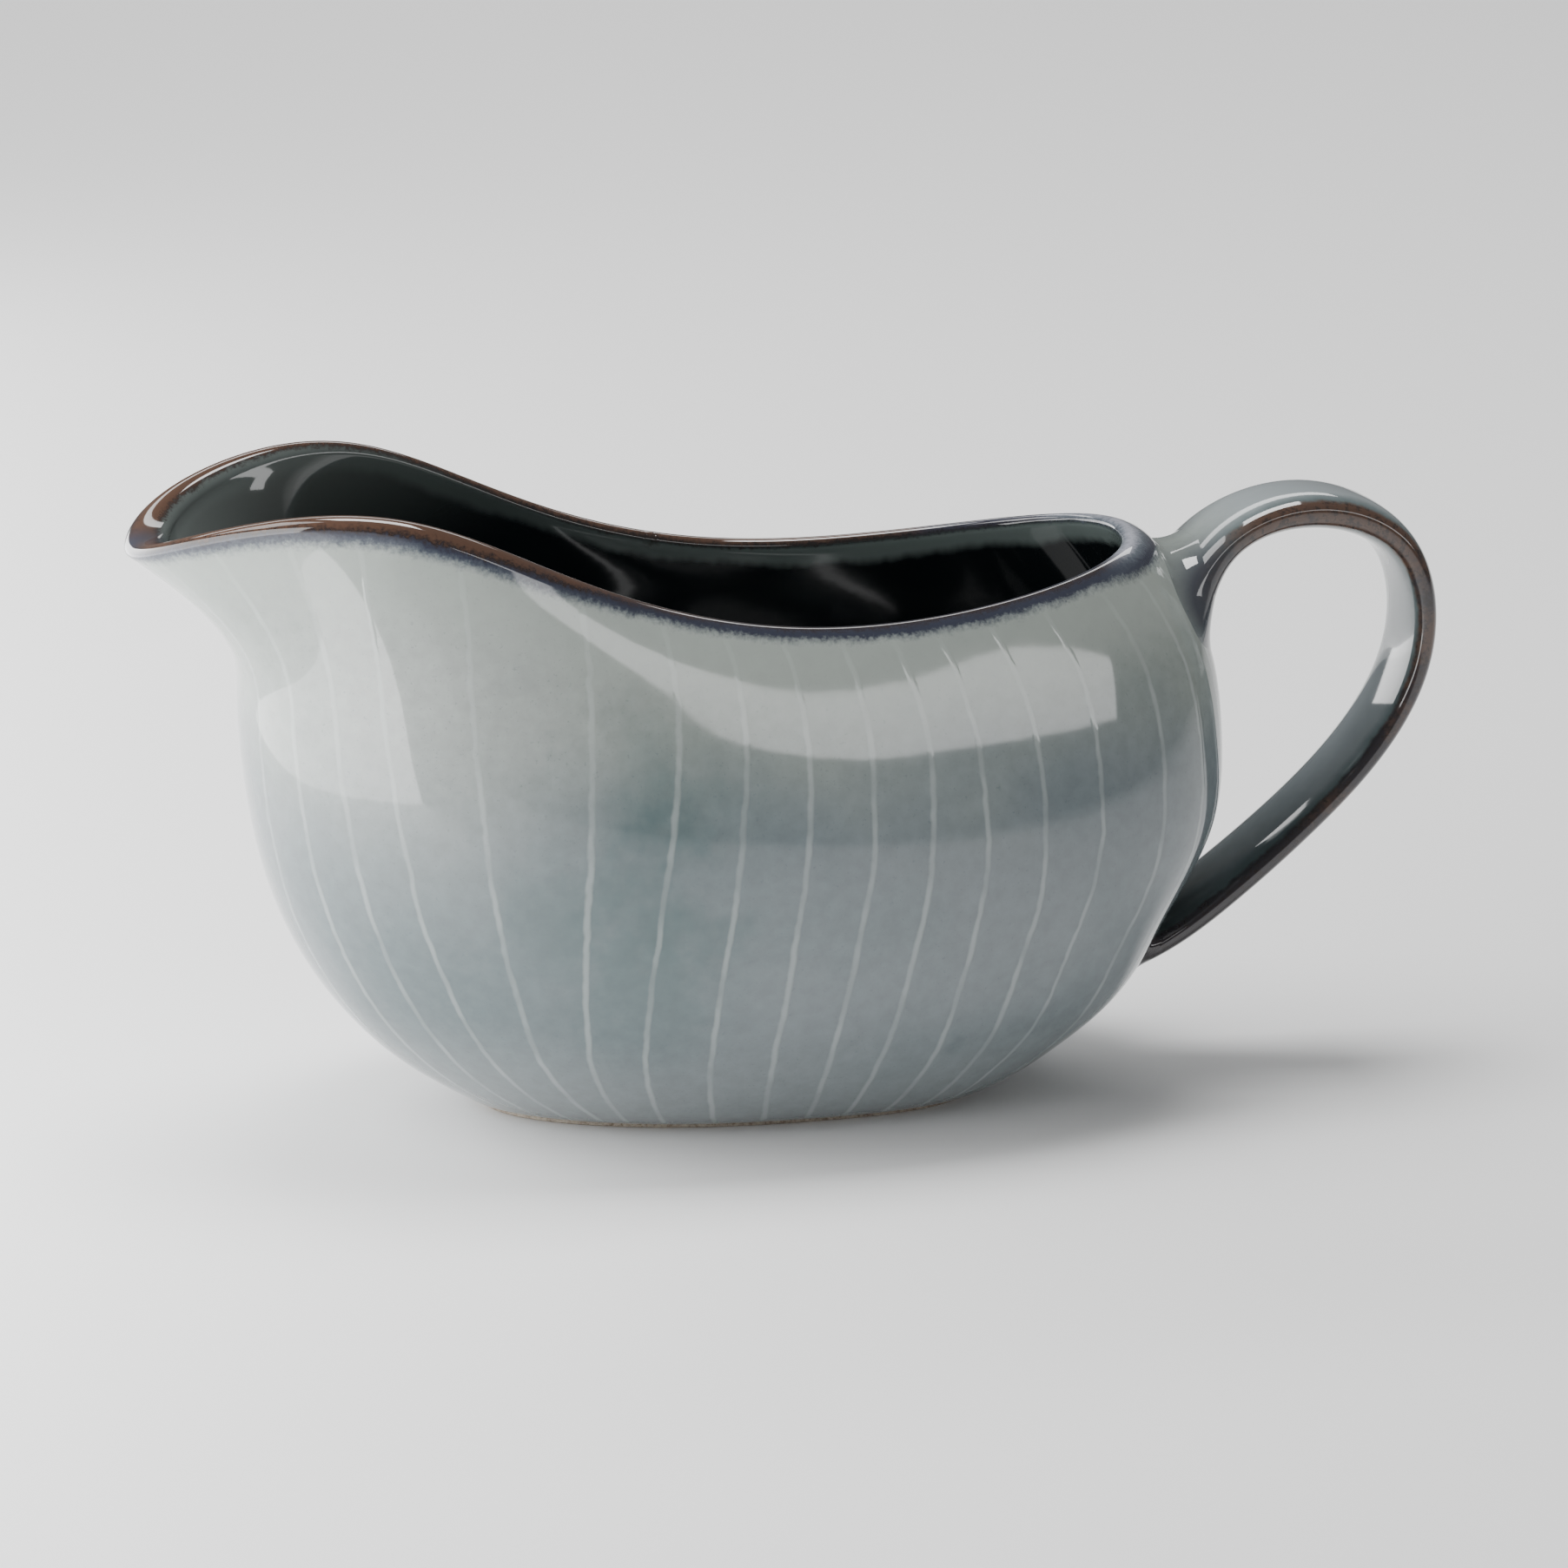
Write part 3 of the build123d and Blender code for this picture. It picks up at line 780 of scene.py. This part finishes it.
bowlGlaze, clay = makeBowlGlaze(), makeClay()
handleGlaze, slipGlaze = makeHandleGlaze("handleGlaze"), makeHandleGlaze("slipGlaze")
print("stage 3: glazes and clay mixed")
for piece, node, slot, material in (
    (bowlPiece, "bowl", "bowl_glaze", bowlGlaze), (footPiece, "foot_ring", "bare_clay", clay),
    (handlePiece, "handle", "handle_glaze", handleGlaze),
    (upperSlip, "upper_slip_joint", "slip_glaze", slipGlaze),
    (lowerSlip, "lower_slip_joint", "slip_glaze", slipGlaze),
):
    piece.data.materials.append(material)
    past = np.abs(np.array(piece.bound_box)[[0, 6]] - np.array(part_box(node)))
    print("piece", piece.name, "faces", len(piece.data.polygons),
          "mm from the CAD node's box", round(float(past.max()) / mm, 2))
    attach(piece, "root")
    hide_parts(node)


# Camera, floor and lights

viewValues = {
    "azimuth": -12.51, "elevation": 14.89,  # degrees, from the -Y side towards the spout
    "distance": 0.8279, "aim": (-0.0034, 0.0, 0.048), "aimRight": 0.00173, "aimUp": -0.0001,
    "frameWidth": 0.2395,  # what the view takes in at the aim point
}


def makeCamera():
    v = viewValues
    a, e = math.radians(v["azimuth"]), math.radians(v["elevation"])
    back = Vector((math.sin(a) * math.cos(e), -math.cos(a) * math.cos(e), math.sin(e)))
    right = Vector((math.cos(a), math.sin(a), 0))
    up = back.cross(right)
    aim = Vector(v["aim"]) + right * v["aimRight"] + up * v["aimUp"]
    data = bpy.data.cameras.new("studioCamera")
    data.sensor_width = 36
    data.lens = 36 * v["distance"] / v["frameWidth"]
    camera = bpy.data.objects.new("studioCamera", data)
    camera.location = aim + back * v["distance"]
    camera.rotation_euler = back.to_track_quat("Z", "Y").to_euler()
    bpy.context.scene.collection.objects.link(camera)
    bpy.context.scene.camera = camera


floorValues = {"reach": 3, "colour": (0.86, 0.86, 0.86, 1), "roughness": 0.9}


def makeFloor():
    reach = floorValues["reach"]
    mesh = bpy.data.meshes.new("paleFloor")
    corners = [(-reach, -reach, 0), (reach, -reach, 0), (reach, reach, 0), (-reach, reach, 0)]
    mesh.from_pydata(corners, [], [(0, 1, 2, 3)])
    floor = bpy.data.objects.new("paleFloor", mesh)
    bpy.context.scene.collection.objects.link(floor)
    paint = Paint("palePaper")
    paint.feed(Base_Color=floorValues["colour"], Roughness=floorValues["roughness"])
    mesh.materials.append(paint.material)


lightValues = {
    # the strip light: its two ends as azimuth, elevation and distance from the boat's aim point
    "strip": {"left": (2, 19.5, 1.55), "right": (64, 11.8, 0.95), "height": 0.11, "glow": 4.1},
    "boat": (-0.03, -0.03, 0.06),
    "air": 0.17,  # brightness of the air all round
}
panelValues = {
    # flat lights: middle, the two sides' lengths, the way the first side runs, the way the back
    # faces, and the brightness
    "side": {"place": (-0.240, 0.285, 0.085), "size": (1.02, 0.23), "along": (0, 1, 0),
             "back": (-1, 0, 0), "glow": 6.0},
    "upper": {"place": (-0.75, 0.10, 1.15), "size": (0.8, 0.5), "along": (0, 1, 0),
              "back": (-0.6, 0, 0.8), "glow": 6.0},
    "roof": {"place": (0.0, 0.45, 2.3), "size": (1.1, 0.9), "along": (1, 0, 0),
             "back": (0, 0, 1), "glow": 15.0},
    "back": {"place": (0.0, 2.5, 2.0), "size": (3.0, 0.8), "along": (1, 0, 0),
             "back": (0, 0, 1), "glow": 5.0},
}


def towards(azimuth, elevation, distance):
    # azimuth 0 is the camera's side of the boat and counts up towards the handle
    a, e = math.radians(azimuth), math.radians(elevation)
    way = Vector((math.sin(a) * math.cos(e), -math.cos(a) * math.cos(e), math.sin(e)))
    return Vector(lightValues["boat"]) + way * distance


def makeLight(name, centre, along, outward, size, glow):
    # a flat box light facing against outward; its power is set from its brightness and area
    data = bpy.data.lights.new(name, "AREA")
    data.shape = "RECTANGLE"
    data.size, data.size_y = size
    data.energy = glow * size[0] * size[1] * math.pi
    lamp = bpy.data.objects.new(name, data)
    lamp.location = centre
    side = along.normalized()
    back = (outward - side * outward.dot(side)).normalized()
    lamp.rotation_euler = Matrix((side, back.cross(side), back)).transposed().to_euler()
    lamp.visible_camera = False
    bpy.context.scene.collection.objects.link(lamp)


def makeStrip():
    v = lightValues["strip"]
    left, right = towards(*v["left"]), towards(*v["right"])
    centre = (left + right) / 2
    makeLight("stripBox", centre, right - left, centre - Vector(lightValues["boat"]),
              ((right - left).length, v["height"]), v["glow"])


makeCamera()
makeFloor()
makeStrip()
for name, v in panelValues.items():
    makeLight(name + "Box", Vector(v["place"]), Vector(v["along"]), Vector(v["back"]), v["size"], v["glow"])
world = bpy.data.worlds.new("studioAir")
world.use_nodes = True
world.node_tree.nodes["Background"].inputs["Color"].default_value = (1, 1, 1, 1)
world.node_tree.nodes["Background"].inputs["Strength"].default_value = lightValues["air"]
bpy.context.scene.world = world
print("stage 4: camera, floor and lights")
